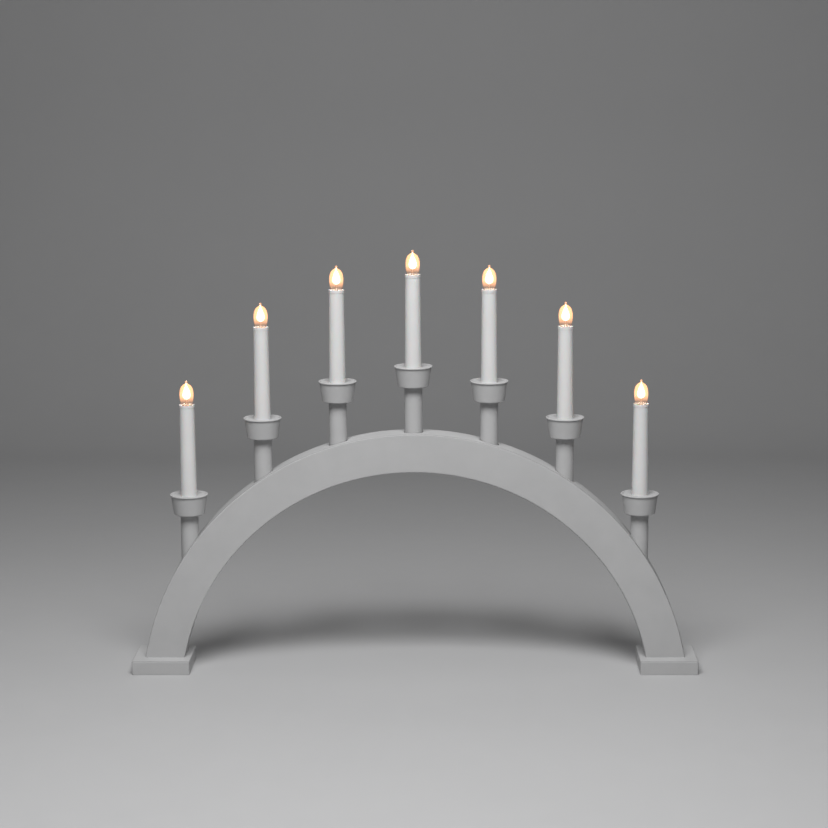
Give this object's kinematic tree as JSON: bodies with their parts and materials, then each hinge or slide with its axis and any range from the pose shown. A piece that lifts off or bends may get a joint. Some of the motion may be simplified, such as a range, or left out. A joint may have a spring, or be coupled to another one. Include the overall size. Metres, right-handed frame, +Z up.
{
  "type": "candle arch",
  "caption": "Painted wooden candle arch on square feet, with electric candles on turned cups and small flame-shaped screw bulbs that unscrew.",
  "frame": {"origin": "on the table, midway between the two feet and midway through their depth", "axes": "+X to the viewer's right along the arch, +Y to the back, +Z up"},
  "size_m": [0.56, 0.058, 0.4183],
  "materials": {
    "painted_wood": "matt grey paint on solid wood",
    "painted_turned_wood": "matt grey paint on turned wood",
    "white_plastic": "satin moulded plastic",
    "holder_plastic": "moulded, heat-resistant",
    "clear_glass": "clear, blown",
    "brass": "drawn, satin",
    "filament": "coiled wire, lit",
    "solder": "solder on black glass",
    "zinc_steel": "zinc-plated",
    "wire_sleeve": "white insulation",
    "crimp_metal": "crimped sleeve"
  },
  "bodies": {
    "stand": {"bow": "painted_wood", "foot_left": "painted_wood", "foot_right": "painted_wood", "groove_cover": "painted_wood", "stem_1": "painted_wood", "stem_2": "painted_wood", "stem_3": "painted_wood", "stem_4": "painted_wood", "stem_5": "painted_wood", "stem_6": "painted_wood", "stem_7": "painted_wood", "cup_1": "painted_turned_wood", "cup_2": "painted_turned_wood", "cup_3": "painted_turned_wood", "cup_4": "painted_turned_wood", "cup_5": "painted_turned_wood", "cup_6": "painted_turned_wood", "cup_7": "painted_turned_wood", "candle_1": "white_plastic", "candle_2": "white_plastic", "candle_3": "white_plastic", "candle_4": "white_plastic", "candle_5": "white_plastic", "candle_6": "white_plastic", "candle_7": "white_plastic", "foot_screws": "zinc_steel", "lampholders": "holder_plastic", "socket_shells": "brass", "socket_contacts": "brass", "link_wires": "wire_sleeve", "supply_wires": "wire_sleeve", "lead_splices": "crimp_metal"},
    "bulb_1_rise": {"bulb_contact_1": "solder"},
    "bulb_1": {"bulb_glass_1": "clear_glass", "bulb_cap_1": "brass", "bulb_filament_1": "filament"},
    "bulb_2_rise": {"bulb_contact_2": "solder"},
    "bulb_2": {"bulb_glass_2": "clear_glass", "bulb_cap_2": "brass", "bulb_filament_2": "filament"},
    "bulb_3_rise": {"bulb_contact_3": "solder"},
    "bulb_3": {"bulb_glass_3": "clear_glass", "bulb_cap_3": "brass", "bulb_filament_3": "filament"},
    "bulb_4_rise": {"bulb_contact_4": "solder"},
    "bulb_4": {"bulb_glass_4": "clear_glass", "bulb_cap_4": "brass", "bulb_filament_4": "filament"},
    "bulb_5_rise": {"bulb_contact_5": "solder"},
    "bulb_5": {"bulb_glass_5": "clear_glass", "bulb_cap_5": "brass", "bulb_filament_5": "filament"},
    "bulb_6_rise": {"bulb_contact_6": "solder"},
    "bulb_6": {"bulb_glass_6": "clear_glass", "bulb_cap_6": "brass", "bulb_filament_6": "filament"},
    "bulb_7_rise": {"bulb_contact_7": "solder"},
    "bulb_7": {"bulb_glass_7": "clear_glass", "bulb_cap_7": "brass", "bulb_filament_7": "filament"}
  },
  "joints": [
    {"name": "bulb_1_rise", "type": "slide", "parent": "stand", "child": "bulb_1_rise", "axis": [0, 0, 1], "range_m": [0, 0.00726]},
    {"name": "bulb_1_turn", "type": "hinge", "parent": "bulb_1_rise", "child": "bulb_1", "pos_m": [-0.2226, 0, 0.25512], "axis": [0, 0, 1], "range_deg": [0, 1440]},
    {"name": "bulb_2_rise", "type": "slide", "parent": "stand", "child": "bulb_2_rise", "axis": [0, 0, 1], "range_m": [0, 0.00726]},
    {"name": "bulb_2_turn", "type": "hinge", "parent": "bulb_2_rise", "child": "bulb_2", "pos_m": [-0.1484, 0, 0.33175], "axis": [0, 0, 1], "range_deg": [0, 1440]},
    {"name": "bulb_3_rise", "type": "slide", "parent": "stand", "child": "bulb_3_rise", "axis": [0, 0, 1], "range_m": [0, 0.00726]},
    {"name": "bulb_3_turn", "type": "hinge", "parent": "bulb_3_rise", "child": "bulb_3", "pos_m": [-0.0742, 0, 0.36798], "axis": [0, 0, 1], "range_deg": [0, 1440]},
    {"name": "bulb_4_rise", "type": "slide", "parent": "stand", "child": "bulb_4_rise", "axis": [0, 0, 1], "range_m": [0, 0.00726]},
    {"name": "bulb_4_turn", "type": "hinge", "parent": "bulb_4_rise", "child": "bulb_4", "pos_m": [0, 0, 0.3827], "axis": [0, 0, 1], "range_deg": [0, 1440]},
    {"name": "bulb_5_rise", "type": "slide", "parent": "stand", "child": "bulb_5_rise", "axis": [0, 0, 1], "range_m": [0, 0.00726]},
    {"name": "bulb_5_turn", "type": "hinge", "parent": "bulb_5_rise", "child": "bulb_5", "pos_m": [0.0742, 0, 0.36798], "axis": [0, 0, 1], "range_deg": [0, 1440]},
    {"name": "bulb_6_rise", "type": "slide", "parent": "stand", "child": "bulb_6_rise", "axis": [0, 0, 1], "range_m": [0, 0.00726]},
    {"name": "bulb_6_turn", "type": "hinge", "parent": "bulb_6_rise", "child": "bulb_6", "pos_m": [0.1484, 0, 0.33175], "axis": [0, 0, 1], "range_deg": [0, 1440]},
    {"name": "bulb_7_rise", "type": "slide", "parent": "stand", "child": "bulb_7_rise", "axis": [0, 0, 1], "range_m": [0, 0.00726]},
    {"name": "bulb_7_turn", "type": "hinge", "parent": "bulb_7_rise", "child": "bulb_7", "pos_m": [0.2226, 0, 0.25512], "axis": [0, 0, 1], "range_deg": [0, 1440]}
  ],
  "couplings": [
    {"joint": "bulb_1_turn", "follows": "bulb_1_rise", "rad_per_m": 3463.7},
    {"joint": "bulb_2_turn", "follows": "bulb_2_rise", "rad_per_m": 3463.7},
    {"joint": "bulb_3_turn", "follows": "bulb_3_rise", "rad_per_m": 3463.7},
    {"joint": "bulb_4_turn", "follows": "bulb_4_rise", "rad_per_m": 3463.7},
    {"joint": "bulb_5_turn", "follows": "bulb_5_rise", "rad_per_m": 3463.7},
    {"joint": "bulb_6_turn", "follows": "bulb_6_rise", "rad_per_m": 3463.7},
    {"joint": "bulb_7_turn", "follows": "bulb_7_rise", "rad_per_m": 3463.7}
  ]
}
